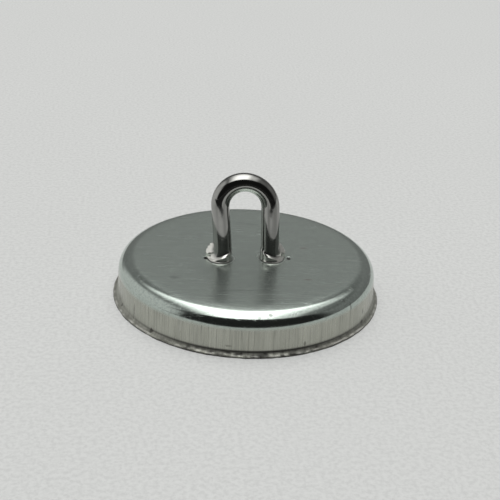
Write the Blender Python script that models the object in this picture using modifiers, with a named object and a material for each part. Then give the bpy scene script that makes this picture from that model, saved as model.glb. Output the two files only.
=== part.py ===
"""Loop-handled cup magnet: a drawn steel cup over a ferrite ring, with a wire loop riveted to its roof.

Metres, +Z up. The origin is the centre of the rim plane, which is the pulling face.
The loop stands across X.
"""

import math

import bmesh
import bpy
from mathutils import Vector

MM = 0.001

# Driving dimensions of the cup
RIM_RADIUS = 25.9 * MM
CUP_HEIGHT = 7.94 * MM
SHEET = 1.2 * MM
WALL_TOP_RADIUS = 24.8 * MM
WALL_FOOT_RADIUS = 24.95 * MM
SHOULDER_RADIUS = 2.7 * MM
LIP_HEIGHT = 0.3 * MM
RIM_EDGE = 0.05 * MM

# Driving dimensions of the wire loop
WIRE_RADIUS = 1.73 * MM
LEG_AT_ROOF = 4.54 * MM
LEG_AT_ARCH = 4.76 * MM
ARCH_HEIGHT = 10.53 * MM
LOOP_LEAN = math.radians(3.3)
LOOP_TILT = math.radians(4.5)
LOOP_SIDE = -0.39 * MM
LOOP_OFFSET = -1.6 * MM
COLLAR_RADIUS = 2.6 * MM
COLLAR_HEIGHT = 2.1 * MM
COLLAR_EDGE = 0.3 * MM
EAR_REACH = 3.3 * MM
EAR_HEIGHT = 2.6 * MM
TAIL_RADIUS = 1.3 * MM
HEAD_RADIUS = 2.1 * MM
HEAD_THICKNESS = 0.8 * MM

# Driving dimensions of what the cup holds
MAGNET_RADIUS = 22.225 * MM
MAGNET_BORE_RADIUS = 11.1 * MM
MAGNET_RECESS = 0.2 * MM
MAGNET_CHAMFER = 0.4 * MM
BED_THICKNESS = 0.4 * MM
BED_INSET = 0.4 * MM
FILLER_RECESS = 0.35 * MM

# Clearance between neighbouring pieces, and how finely round shapes are cut
GAP = 0.3 * MM
TURN_STEPS = 64
SHOULDER_POINTS = 7
FLARE_POINTS = 7
ARCH_POINTS = 20
FOOT_POINTS = 7
WIRE_BEVEL_RESOLUTION = 4
HOLE_SIDES = 32
SMOOTH_ANGLE = math.radians(30)
MERGE_DISTANCE = 0.00001

# Levels and radii that the dimensions above give
FLARE_RADIUS = RIM_RADIUS - WALL_FOOT_RADIUS
FLARE_TOP = LIP_HEIGHT + FLARE_RADIUS
ROOF_UNDERSIDE = CUP_HEIGHT - SHEET
BED_TOP = ROOF_UNDERSIDE - GAP
MAGNET_TOP = BED_TOP - BED_THICKNESS - GAP
HOLE_RADIUS = TAIL_RADIUS + GAP


def clear_scene():
    """Removes every object that the new file opened with."""
    for thing in list(bpy.data.objects):
        bpy.data.objects.remove(thing, do_unlink=True)


def new_collection(name):
    """A collection under the scene's own."""
    group = bpy.data.collections.new(name)
    bpy.context.scene.collection.children.link(group)
    return group


def finish_material(name, colour, metallic, roughness):
    """A Principled material with one colour and finish."""
    material = bpy.data.materials.new(name)
    material.use_nodes = True
    shader = material.node_tree.nodes["Principled BSDF"]
    shader.inputs["Base Color"].default_value = (*colour, 1.0)
    shader.inputs["Metallic"].default_value = metallic
    shader.inputs["Roughness"].default_value = roughness
    return material


def arc(centre_x, centre_z, radius, start_degrees, end_degrees, count):
    """Points (x, z) along a circular arc, both ends included."""
    points = []
    for i in range(count):
        angle = math.radians(start_degrees + (end_degrees - start_degrees) * i / (count - 1))
        points.append((centre_x + radius * math.cos(angle), centre_z + radius * math.sin(angle)))
    return points


def flare_points(inset, lowest):
    """Points (x, z) down the foot of the wall, which bends outwards round a centre above the rim's edge."""
    bend = FLARE_RADIUS + inset
    steepest = math.asin(min(1.0, (FLARE_TOP - lowest) / bend))
    points = []
    for i in range(FLARE_POINTS):
        angle = steepest * i / (FLARE_POINTS - 1)
        points.append((RIM_RADIUS - bend * math.cos(angle), FLARE_TOP - bend * math.sin(angle)))
    return points


def turned(name, profile, closed, material, group):
    """A piece turned about Z from a profile of (x, z) points that runs down its outer side."""
    mesh = bpy.data.meshes.new(name)
    edges = [(i, i + 1) for i in range(len(profile) - 1)]
    if closed:
        edges.append((len(profile) - 1, 0))
    mesh.from_pydata([(x, 0.0, z) for x, z in profile], edges, [])
    mesh.materials.append(material)
    piece = bpy.data.objects.new(name, mesh)
    group.objects.link(piece)
    screw = piece.modifiers.new("turn", "SCREW")
    screw.axis = "Z"
    screw.steps = TURN_STEPS
    screw.render_steps = TURN_STEPS
    screw.use_merge_vertices = True
    screw.merge_threshold = MERGE_DISTANCE
    screw.use_smooth_shade = True
    return piece


def hole_cutter(name, x, group):
    """A cylinder through the roof at one leg of the loop."""
    shape = bmesh.new()
    bmesh.ops.create_cone(
        shape, cap_ends=True, segments=HOLE_SIDES, radius1=HOLE_RADIUS, radius2=HOLE_RADIUS, depth=4 * SHEET
    )
    mesh = bpy.data.meshes.new(name)
    shape.to_mesh(mesh)
    shape.free()
    cutter = bpy.data.objects.new(name, mesh)
    cutter.location = (x, LOOP_OFFSET, CUP_HEIGHT - SHEET / 2)
    cutter.hide_render = True
    cutter.display_type = "WIRE"
    group.objects.link(cutter)
    return cutter


def steel_cup(group, cutters):
    """The drawn cup: flat roof, rounded shoulder, straight wall, flared and trimmed foot, and two leg holes."""
    material = finish_material("zinc_plated_sheet", (0.50, 0.52, 0.50), 1.0, 0.28)
    outer = [(0.0, CUP_HEIGHT)]
    outer += arc(
        WALL_TOP_RADIUS - SHOULDER_RADIUS, CUP_HEIGHT - SHOULDER_RADIUS, SHOULDER_RADIUS, 90, 0, SHOULDER_POINTS
    )
    outer += flare_points(0.0, LIP_HEIGHT)
    outer += [(RIM_RADIUS, RIM_EDGE), (RIM_RADIUS - RIM_EDGE, 0.0)]
    inner = list(reversed(flare_points(SHEET, 0.0)))
    inner_bend = SHOULDER_RADIUS - SHEET
    inner += arc(
        WALL_TOP_RADIUS - SHOULDER_RADIUS, CUP_HEIGHT - SHOULDER_RADIUS, inner_bend, 0, 90, SHOULDER_POINTS
    )
    inner += [(0.0, ROOF_UNDERSIDE)]
    cup = turned("steel_cup", outer + inner, False, material, group)
    for side, x in (("left", LOOP_SIDE - LEG_AT_ROOF), ("right", LOOP_SIDE + LEG_AT_ROOF)):
        cut = cup.modifiers.new("hole_" + side, "BOOLEAN")
        cut.operation = "DIFFERENCE"
        cut.solver = "EXACT"
        cut.object = hole_cutter("leg_hole_" + side, x, cutters)
    return cup


def collar_radius(rise):
    """Radius of the upset collar at a height above its underside, where it sweeps up into the wire."""
    share = max(0.0, 1.0 - rise / COLLAR_HEIGHT)
    return WIRE_RADIUS + (COLLAR_RADIUS - WIRE_RADIUS) * share**2


def ear_reach(rise):
    """How far the pinched ear stands out from the leg's axis at a height above the foot's underside."""
    share = max(0.0, 1.0 - rise / EAR_HEIGHT)
    return WIRE_RADIUS + (EAR_REACH - WIRE_RADIUS) * share


def leg_stations():
    """(height, leg spacing, radius) up one leg: peened head, tail, upset foot, then the wire to the arch."""
    head_top = ROOF_UNDERSIDE - GAP
    head_bottom = head_top - HEAD_THICKNESS
    foot = CUP_HEIGHT + GAP
    step = COLLAR_EDGE / 10
    stations = [
        (head_bottom, LEG_AT_ROOF, HEAD_RADIUS * 0.6),
        (head_bottom + HEAD_THICKNESS * 0.4, LEG_AT_ROOF, HEAD_RADIUS * 0.92),
        (head_top - step, LEG_AT_ROOF, HEAD_RADIUS),
        (head_top, LEG_AT_ROOF, TAIL_RADIUS),
        (foot - step, LEG_AT_ROOF, TAIL_RADIUS),
        (foot, LEG_AT_ROOF, COLLAR_RADIUS),
    ]
    for i in range(FOOT_POINTS):
        rise = COLLAR_EDGE + (EAR_HEIGHT - COLLAR_EDGE) * i / (FOOT_POINTS - 1)
        stations.append((foot + rise, LEG_AT_ROOF, collar_radius(rise)))
    stations.append((CUP_HEIGHT + ARCH_HEIGHT, LEG_AT_ARCH, WIRE_RADIUS))
    return stations


def lean(x, z):
    """A point of the loop after the wire leans a little to -X and tilts a little to +Y above its feet."""
    rise = max(0.0, z - CUP_HEIGHT - GAP - EAR_HEIGHT)
    return Vector((LOOP_SIDE + x - rise * math.tan(LOOP_LEAN), LOOP_OFFSET + rise * math.tan(LOOP_TILT), z))


def wire_loop(group):
    """The bent wire: an arch on two legs, each with an upset foot on the roof and a tail peened below it."""
    material = finish_material("bright_wire", (0.56, 0.57, 0.55), 1.0, 0.16)
    stations = leg_stations()
    line = [(lean(-x, z), radius) for z, x, radius in stations]
    for x, z in arc(0.0, CUP_HEIGHT + ARCH_HEIGHT, LEG_AT_ARCH, 180, 0, ARCH_POINTS)[1:-1]:
        line.append((lean(x, z), WIRE_RADIUS))
    line += [(lean(x, z), radius) for z, x, radius in reversed(stations)]

    curve = bpy.data.curves.new("loop_line", "CURVE")
    curve.dimensions = "3D"
    curve.bevel_depth = 1.0 * MM
    curve.bevel_resolution = WIRE_BEVEL_RESOLUTION
    curve.use_fill_caps = True
    spline = curve.splines.new("POLY")
    spline.points.add(len(line) - 1)
    for point, (position, radius) in zip(spline.points, line):
        point.co = (*position, 1.0)
        point.radius = radius / curve.bevel_depth
    guide = bpy.data.objects.new("loop_line", curve)
    group.objects.link(guide)
    bpy.context.view_layer.update()
    mesh = bpy.data.meshes.new_from_object(guide.evaluated_get(bpy.context.evaluated_depsgraph_get()))
    loop = bpy.data.objects.new("wire_loop", mesh)
    loop.matrix_world = guide.matrix_world
    bpy.data.objects.remove(guide, do_unlink=True)
    group.objects.link(loop)

    shape = bmesh.new()
    shape.from_mesh(mesh)
    bmesh.ops.remove_doubles(shape, verts=shape.verts, dist=MERGE_DISTANCE)
    spread_feet(shape)
    shape.to_mesh(mesh)
    shape.free()
    mesh.materials.clear()
    mesh.materials.append(material)
    mesh.shade_smooth()
    mesh.set_sharp_from_angle(angle=SMOOTH_ANGLE)
    return loop


def spread_feet(shape):
    """Pinches each foot into an ear that stands out sideways, away from the loop's middle."""
    foot = CUP_HEIGHT + GAP
    for vertex in shape.verts:
        rise = vertex.co.z - foot
        side = math.copysign(1.0, vertex.co.x - LOOP_SIDE)
        outward = side * (vertex.co.x - LOOP_SIDE) - LEG_AT_ROOF
        distance = math.hypot(outward, vertex.co.y - LOOP_OFFSET)
        if not -MERGE_DISTANCE < rise < EAR_HEIGHT or outward <= 0.0 or distance < WIRE_RADIUS * 0.9:
            continue
        spread = max(0.0, ear_reach(rise) - distance)
        vertex.co.x += side * spread * (outward / distance) ** 2


def ferrite_ring(group):
    """The sintered ring magnet, set just inside the rim plane."""
    material = finish_material("ferrite", (0.055, 0.055, 0.06), 0.0, 0.62)
    top, bottom, edge = MAGNET_TOP, MAGNET_RECESS, MAGNET_CHAMFER
    profile = [
        (MAGNET_RADIUS - edge, top),
        (MAGNET_RADIUS, top - edge),
        (MAGNET_RADIUS, bottom + edge),
        (MAGNET_RADIUS - edge, bottom),
        (MAGNET_BORE_RADIUS + edge, bottom),
        (MAGNET_BORE_RADIUS, bottom + edge),
        (MAGNET_BORE_RADIUS, top - edge),
        (MAGNET_BORE_RADIUS + edge, top),
    ]
    return turned("ferrite_ring", profile, True, material, group)


def adhesive_bed(group):
    """The cured adhesive between the roof and the magnet."""
    material = finish_material("adhesive", (0.42, 0.36, 0.22), 0.0, 0.45)
    outer = MAGNET_RADIUS - BED_INSET
    inner = MAGNET_BORE_RADIUS + BED_INSET
    bottom = BED_TOP - BED_THICKNESS
    profile = [(outer, BED_TOP), (outer, bottom), (inner, bottom), (inner, BED_TOP)]
    return turned("adhesive_bed", profile, True, material, group)


def edge_filler(group):
    """The non-magnetic potting ring that keeps the magnet central and fills the gap to the skirt."""
    material = finish_material("potting_resin", (0.07, 0.07, 0.075), 0.0, 0.35)
    inner = MAGNET_RADIUS + GAP
    profile = [(WALL_TOP_RADIUS - SHEET - GAP, MAGNET_TOP)]
    profile += flare_points(SHEET + GAP, FILLER_RECESS)
    profile += [(inner, FILLER_RECESS), (inner, MAGNET_TOP)]
    return turned("edge_filler", profile, True, material, group)


def main():
    """Builds the magnet from an empty scene."""
    clear_scene()
    magnet = new_collection("fishing_magnet")
    cutters = new_collection("cutters")
    steel_cup(magnet, cutters)
    wire_loop(magnet)
    ferrite_ring(magnet)
    adhesive_bed(magnet)
    edge_filler(magnet)


main()
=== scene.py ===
"""Looks for a cup magnet with a wire loop: a plated steel cup over a ferrite ring, on a pale floor.

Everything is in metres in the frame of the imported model: +Z up, the origin at the centre of the rim
plane, and the loop standing across X. Each operator builds one piece, dresses it and lets it stand for
the frame's own node.
"""

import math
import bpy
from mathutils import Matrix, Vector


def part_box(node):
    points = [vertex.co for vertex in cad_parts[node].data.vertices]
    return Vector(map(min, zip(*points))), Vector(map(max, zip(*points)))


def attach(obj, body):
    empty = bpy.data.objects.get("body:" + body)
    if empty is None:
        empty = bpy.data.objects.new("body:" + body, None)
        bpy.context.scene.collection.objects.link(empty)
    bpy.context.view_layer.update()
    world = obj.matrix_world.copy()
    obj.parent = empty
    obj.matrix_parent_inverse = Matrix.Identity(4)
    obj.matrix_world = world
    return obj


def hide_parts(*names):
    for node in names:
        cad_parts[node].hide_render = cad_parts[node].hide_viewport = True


bl_info = {
    "name": "Loop-Handled Cup Magnet",
    "version": (1, 0, 0),
    "blender": (4, 5, 0),
    "location": "3D View > Sidebar > Cup Magnet",
    "description": "Builds a plated cup magnet with its wire loop, ferrite ring and potting",
    "category": "Object",
}

import bmesh
import bpy
from mathutils import Matrix, Vector, noise

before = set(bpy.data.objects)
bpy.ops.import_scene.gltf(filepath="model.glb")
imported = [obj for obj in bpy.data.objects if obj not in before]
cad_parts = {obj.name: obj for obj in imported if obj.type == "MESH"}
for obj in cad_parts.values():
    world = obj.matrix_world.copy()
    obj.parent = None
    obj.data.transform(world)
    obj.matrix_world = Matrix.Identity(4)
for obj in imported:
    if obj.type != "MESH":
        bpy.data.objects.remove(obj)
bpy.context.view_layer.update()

MM = 0.001

# Places and sizes that the frame gives
RIM_RADIUS, CUP_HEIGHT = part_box("steel_cup")[1].xz
LOOP_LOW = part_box("wire_loop")[0]
RING_LOW, RING_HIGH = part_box("ferrite_ring")
BED_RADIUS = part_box("adhesive_bed")[1].x
FILLER_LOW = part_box("edge_filler")[0]

# Shape of the drawn cup
SHEET = 1.2 * MM
WALL_TOP_RADIUS = 24.8 * MM
WALL_FOOT_RADIUS = 24.95 * MM
SHOULDER_RADIUS = 2.7 * MM
LIP_HEIGHT = 0.3 * MM
ROLL_START = 19.0 * MM
ROLL_SLOPE = math.radians(9)
LIP_TEAR = 0.12 * MM
SHOULDER_UNEVEN = 0.016 * MM
ROOF_UNEVEN = 0.010 * MM
LIP_WAVE = 0.07 * MM
FEET_ZONE = 10 * MM
PIT_RADIUS = 0.45 * MM
PIT_DEPTH = 0.55 * MM
FLARE_RADIUS = RIM_RADIUS - WALL_FOOT_RADIUS
FLARE_TOP = LIP_HEIGHT + FLARE_RADIUS
ROOF_UNDERSIDE = CUP_HEIGHT - SHEET
BEND_CENTRE = WALL_TOP_RADIUS - SHOULDER_RADIUS
ROLL_END = BEND_CENTRE + SHOULDER_RADIUS * math.sin(ROLL_SLOPE)
ROLL_DROP = math.tan(ROLL_SLOPE) * (ROLL_END - ROLL_START) / 3
BEND_HEIGHT = CUP_HEIGHT - ROLL_DROP - SHOULDER_RADIUS * math.cos(ROLL_SLOPE)

# Shape of the wire loop and of its upset feet
LOOP_SIDE = -0.39 * MM
LOOP_OFFSET = -1.6 * MM
LEG_AT_ROOF = 4.54 * MM
LEG_AT_ARCH = 4.76 * MM
ARCH_HEIGHT = 10.53 * MM
LEAN_START = 2.9 * MM
COLLAR_RISE = 2.6 * MM
LEDGE_RISE = 1.2 * MM
LEDGE_SPAN = 0.5 * MM
LEDGE_SLANT = 0.9 * MM
LEDGE_SHARE = 0.66
FOOT_TAPER = 1.6
FLANGE_RISE = 0.5 * MM
EAR_FALL = 0.9
EAR_CANT = 0.5
EAR_HALF_WIDTH = 1.05 * MM
EAR_TURN = math.radians(-20)
EAR_BLEND = 0.35 * MM
SOLE_RISE = 0.12 * MM
SOLE_ROUND = 0.08 * MM
TAIL_RADIUS = 1.3 * MM
HEAD_RADIUS = 2.1 * MM
HEAD_THICKNESS = 0.8 * MM

# Shape of the ring magnet, its adhesive and the potting
RING_BORE_RADIUS = 11.1 * MM
RING_CHAMFER = 0.4 * MM
BED_EDGE = 0.15 * MM
POTTING_GAP = 0.01 * MM
MENISCUS = 0.16 * MM

# How finely the pieces are cut
TURN_STEPS = 384
WIRE_SIDES = 48
SMOOTH_ANGLE = math.radians(32)

# The floor lies just under the rim, and turns dark over this many millimetres
FLOOR_DROP = 0.02 * MM
FLOOR_FADE = 9.0

# Colours of dirt, wear and marks, and the near-black of painted shade laid in pits, creases and round the
# feet
PAINTED_SHADE_COLOUR = (0.02, 0.018, 0.016)
DIRT_COLOUR = (0.05, 0.045, 0.04)
RUST_COLOUR = (0.20, 0.09, 0.08)
SPECK_COLOUR = (0.12, 0.11, 0.10)
WIRE_SPECK_COLOUR = (0.2, 0.19, 0.17)
HAIR_COLOUR = (0.7, 0.71, 0.69)
WORN_COLOUR = (0.62, 0.62, 0.58)
DARK_FLOOR_COLOUR = (0.006, 0.006, 0.006)
LIGHT_COLOUR = (1.0, 1.0, 0.985)

# Grey of the surroundings behind the magnet at each angle above the horizon, in degrees
BACK_LEVELS = (
    (0, 0.20), (17, 0.23), (22, 0.24), (26, 0.26), (30, 0.215), (34, 0.175), (42, 0.22), (90, 0.4),
)


# Mesh helpers


def clamp(value):
    """A value held between 0 and 1."""
    return min(1.0, max(0.0, value))


def wander(place, wave, seed):
    """Smooth noise from -1 to 1 that changes over about one wave length."""
    return noise.noise(Vector((place[0] / wave, place[1] / wave, place[2] / wave + seed)))


def around(angle, radius, height=0.0):
    """The point at an angle about Z."""
    return Vector((radius * math.cos(angle), radius * math.sin(angle), height))


def arc(centre_r, centre_z, radius, start_degrees, end_degrees, count):
    """Points (r, z) along a circular arc, both ends included."""
    points = []
    for i in range(count):
        angle = math.radians(start_degrees + (end_degrees - start_degrees) * i / (count - 1))
        points.append((centre_r + radius * math.cos(angle), centre_z + radius * math.sin(angle)))
    return points


def spread(start, end, count):
    """Evenly spaced values from start to end, both included."""
    return [start + (end - start) * i / (count - 1) for i in range(count)]


def turned_rings(profile, steps, shape):
    """Rings of points about Z: the shape turns (angle, r, z) of each step into a point."""
    angles = [math.tau * j / steps for j in range(steps)]
    return [[shape(angle, r, z) for angle in angles] for r, z in profile]


def piece_from_rings(name, rings, closed):
    """A mesh object skinned over rings of points, which join end to end or are capped at a centre."""
    sides = len(rings[0])
    points = [point for ring in rings for point in ring]
    faces = []
    last = len(rings) if closed else len(rings) - 1
    for i in range(last):
        a = i * sides
        b = (i + 1) % len(rings) * sides
        for j in range(sides):
            k = (j + 1) % sides
            faces.append((a + j, b + j, b + k, a + k))
    if not closed:
        for ring, turn in ((0, 1), (len(rings) - 1, -1)):
            centre = sum(rings[ring], Vector()) / sides
            points.append(centre)
            for j in range(sides):
                corners = (len(points) - 1, ring * sides + j, ring * sides + (j + 1) % sides)
                faces.append(corners[::turn])
    mesh = bpy.data.meshes.new(name)
    mesh.from_pydata([tuple(point) for point in points], [], faces)
    piece = bpy.data.objects.new(name, mesh)
    bpy.context.scene.collection.objects.link(piece)
    shape = bmesh.new()
    shape.from_mesh(mesh)
    bmesh.ops.recalc_face_normals(shape, faces=shape.faces)
    shape.to_mesh(mesh)
    shape.free()
    return piece


def soften(piece):
    """Smooth shading that keeps edges sharper than the smooth angle."""
    piece.data.shade_smooth()
    piece.data.set_sharp_from_angle(angle=SMOOTH_ANGLE)


def paint(piece, name, amount):
    """Stores a value from 0 to 1 at each vertex, worked out from its place."""
    layer = piece.data.attributes.new(name, "FLOAT", "POINT")
    layer.data.foreach_set("value", [clamp(amount(vertex.co)) for vertex in piece.data.vertices])


def stand_for(piece, node, material):
    """Gives the piece its material and lets it stand for the frame's node on the root body."""
    piece.data.materials.clear()
    piece.data.materials.append(material)
    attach(piece, "root")
    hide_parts(node)


# Shader helpers


def add(tree, kind, settings=None, **inputs):
    """A node with its settings, and its inputs as values or as sockets to link.

    An input is named with underscores for spaces, or by its number after an i.
    """
    node = tree.nodes.new("ShaderNode" + kind)
    for key, value in (settings or {}).items():
        setattr(node, key, value)
    for key, value in inputs.items():
        socket = node.inputs[int(key[1:])] if key[1:].isdigit() else node.inputs[key.replace("_", " ")]
        if isinstance(value, bpy.types.NodeSocket):
            tree.links.new(value, socket)
        else:
            socket.default_value = value
    return node


def calc(tree, operation, a, b=0.0):
    """The result of one sum on values or sockets."""
    return add(tree, "Math", {"operation": operation}, i0=a, i1=b).outputs[0]


def times(tree, product, *factors):
    """The product of values or sockets."""
    for factor in factors:
        product = calc(tree, "MULTIPLY", product, factor)
    return product


def plus(tree, a, b):
    """The sum of two values or sockets."""
    return calc(tree, "ADD", a, b)


def minus(tree, a, b):
    """The difference of two values or sockets."""
    return calc(tree, "SUBTRACT", a, b)


def divide(tree, a, b):
    """The quotient of two values or sockets."""
    return calc(tree, "DIVIDE", a, b)


def span(tree, value, low, high, out_low=0.0, out_high=1.0):
    """A value eased from one range to another and held at its ends."""
    node = add(
        tree, "MapRange", {"interpolation_type": "SMOOTHSTEP"},
        Value=value, From_Min=low, From_Max=high, To_Min=out_low, To_Max=out_high,
    )
    return node.outputs["Result"]


def zone(tree, angle, rise, fall):
    """1 between two soft edges of an angle and 0 outside them; each edge is a pair of degrees."""
    rising = span(tree, angle, *map(math.radians, rise))
    return times(tree, rising, span(tree, angle, *map(math.radians, fall), 1.0, 0.0))


def tint(tree, factor, a, b):
    """Two colours mixed by a factor."""
    node = add(tree, "Mix", {"data_type": "RGBA"}, i0=factor)
    for index, colour in ((6, a), (7, b)):
        if isinstance(colour, bpy.types.NodeSocket):
            tree.links.new(colour, node.inputs[index])
        else:
            node.inputs[index].default_value = (*colour, 1.0)
    return node.outputs[2]


def mix(tree, factor, a, b):
    """Two values mixed by a factor."""
    return add(tree, "Mix", i0=factor, i2=a, i3=b).outputs[0]


def shade(colour, share):
    """A colour made darker or lighter."""
    return [channel * share for channel in colour]


def layered(tree, tone, *layers):
    """A colour covered by one (factor, colour) layer after another."""
    for factor, colour in layers:
        tone = tint(tree, factor, tone, colour)
    return tone


def axes(tree, vector):
    """The three parts of a vector."""
    return add(tree, "SeparateXYZ", Vector=vector).outputs


def vector_sum(tree, operation, a, b=(0.0, 0.0, 0.0)):
    """A node that works on two vectors."""
    return add(tree, "VectorMath", {"operation": operation}, i0=a, i1=b)


def scaled(tree, vector, x, y, z):
    """A place multiplied by one factor along each axis."""
    return vector_sum(tree, "MULTIPLY", vector, (x, y, z)).outputs[0]


def turn_about_z(tree, vector, angle):
    """A place turned about Z."""
    return add(tree, "VectorRotate", {"rotation_type": "Z_AXIS"}, Vector=vector, Angle=angle).outputs[0]


def place_over(tree, given, label):
    """The group's place divided by one of its inputs."""
    node = add(tree, "VectorMath", {"operation": "SCALE"}, i0=given["Place"])
    tree.links.new(divide(tree, 1.0, given[label]), node.inputs["Scale"])
    return node.outputs[0]


def noise_value(tree, vector, scale, detail, roughness=0.5):
    """Noise from 0 to 1."""
    return add(tree, "TexNoise", Vector=vector, Scale=scale, Detail=detail, Roughness=roughness).outputs[0]


def new_group(name, numbers, output, vectors=("Place",)):
    """A shader node group of vector and number inputs and one value: its tree, inputs and result."""
    tree = bpy.data.node_groups.new(name, "ShaderNodeTree")
    for label in vectors:
        tree.interface.new_socket(label, in_out="INPUT", socket_type="NodeSocketVector")
    for label, default in numbers:
        socket = tree.interface.new_socket(label, in_out="INPUT", socket_type="NodeSocketFloat")
        socket.default_value = default
    tree.interface.new_socket(output, in_out="OUTPUT", socket_type="NodeSocketFloat")
    given, result = tree.nodes.new("NodeGroupInput"), tree.nodes.new("NodeGroupOutput")
    return tree, given.outputs, result.inputs[0]


def rolled_grain_group():
    """Fine straight lines along X, as rolling leaves on sheet."""
    tree, given, result = new_group("rolled_grain", [("Length", 8.0), ("Width", 0.15)], "Grain")
    x, y = axes(tree, given["Place"])[:2]
    along = divide(tree, x, given["Length"])
    lines = add(tree, "CombineXYZ", X=along, Y=divide(tree, y, given["Width"]))
    tree.links.new(noise_value(tree, lines.outputs[0], 1.0, 4.0, 0.6), result)


def drawn_streaks_group():
    """Streaks that run up a wall turned about Z, as a drawing die leaves."""
    numbers = [("Width", 0.4), ("Length", 6.0), ("Radius", 25.0)]
    tree, given, result = new_group("drawn_streaks", numbers, "Streaks")
    x, y, z = axes(tree, given["Place"])
    run = times(tree, calc(tree, "ARCTAN2", y, x), given["Radius"])
    across = divide(tree, run, given["Width"])
    lines = add(tree, "CombineXYZ", X=across, Y=divide(tree, z, given["Length"]))
    tree.links.new(noise_value(tree, lines.outputs[0], 1.0, 5.0, 0.65), result)


def scratches_group():
    """Sparse hairline scratches at two slants."""
    numbers = [("Length", 6.0), ("Width", 0.06), ("Amount", 0.5)]
    tree, given, result = new_group("scratches", numbers, "Scratches")
    masks = []
    for slant, lift in ((0.35, 3.7), (-1.1, 9.2)):
        turned = turn_about_z(tree, given["Place"], slant)
        x, y = axes(tree, turned)[:2]
        along = divide(tree, x, given["Length"])
        across = divide(tree, y, given["Width"])
        lines = add(tree, "CombineXYZ", X=along, Y=across, Z=lift)
        band = noise_value(tree, lines.outputs[0], 1.0, 1.0)
        patch = noise_value(tree, turned, 0.35, 2.0)
        limit = minus(tree, 0.86, times(tree, patch, given["Amount"]))
        masks.append(span(tree, minus(tree, band, limit), 0.0, 0.06))
    tree.links.new(calc(tree, "MAXIMUM", *masks), result)


def smudges_group():
    """Broad soft patches of handling film."""
    tree, given, result = new_group("smudges", [("Size", 6.0), ("Cover", 0.5)], "Smudge")
    cloud = noise_value(tree, place_over(tree, given, "Size"), 1.0, 5.0, 0.55)
    shifted = plus(tree, cloud, minus(tree, given["Cover"], 0.5))
    tree.links.new(span(tree, shifted, 0.4, 0.68), result)


def specks_group():
    """Small round specks scattered thinly."""
    tree, given, result = new_group("specks", [("Spacing", 2.0), ("Size", 0.1)], "Specks")
    place = place_over(tree, given, "Spacing")
    cells = add(tree, "TexVoronoi", {"feature": "F1"}, Vector=place, Scale=1.0)
    distance = times(tree, cells.outputs["Distance"], given["Spacing"])
    chosen = add(tree, "SeparateColor", Color=cells.outputs["Color"]).outputs[0]
    size = times(tree, given["Size"], calc(tree, "POWER", chosen, 3.0))
    tree.links.new(span(tree, minus(tree, distance, size), 0.0, 0.05, 1.0, 0.0), result)


def mark_group():
    """One small stain or dent: a soft-edged patch round a centre, with half sizes along turned axes."""
    tree, given, result = new_group("mark", [("Turn", 0.0)], "Mark", ("Place", "Centre", "Reach"))
    place, centre, reach, turn = given[:4]
    offset = vector_sum(tree, "SUBTRACT", place, centre).outputs[0]
    shrunk = vector_sum(tree, "DIVIDE", turn_about_z(tree, offset, turn), reach).outputs[0]
    gap = vector_sum(tree, "LENGTH", shrunk).outputs["Value"]
    ragged = plus(tree, gap, times(tree, noise_value(tree, place, 3.0, 3.0), 0.8))
    tree.links.new(span(tree, ragged, 0.9, 1.5, 1.0, 0.0), result)


def use(tree, group, place, **values):
    """One of the shared effects placed in a material, as its output socket."""
    node = tree.nodes.new("ShaderNodeGroup")
    node.node_tree = bpy.data.node_groups[group]
    tree.links.new(place, node.inputs["Place"])
    for key, value in values.items():
        node.inputs[key].default_value = value
    return node.outputs[0]


def new_material(name):
    """A material with its shader, its tree and the place on the piece in millimetres."""
    material = bpy.data.materials.new(name)
    material.use_nodes = True
    tree = material.node_tree
    shader = tree.nodes["Principled BSDF"]
    place = scaled(tree, add(tree, "TexCoord").outputs["Object"], 1 / MM, 1 / MM, 1 / MM)
    return material, tree, shader, place


def painted(tree, name):
    """The value painted on the mesh under a name."""
    return add(tree, "Attribute", {"attribute_name": name}).outputs["Fac"]


def raise_surface(tree, shader, height, distance):
    """Feeds a height to the shader's normal."""
    bump = add(tree, "Bump", Height=height, Distance=distance, Strength=1.0)
    tree.links.new(bump.outputs["Normal"], shader.inputs["Normal"])


def feed(tree, shader, **inputs):
    """Links sockets to the shader's inputs."""
    for key, socket in inputs.items():
        tree.links.new(socket, shader.inputs[key.replace("_", " ")])


# Finishes


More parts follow.
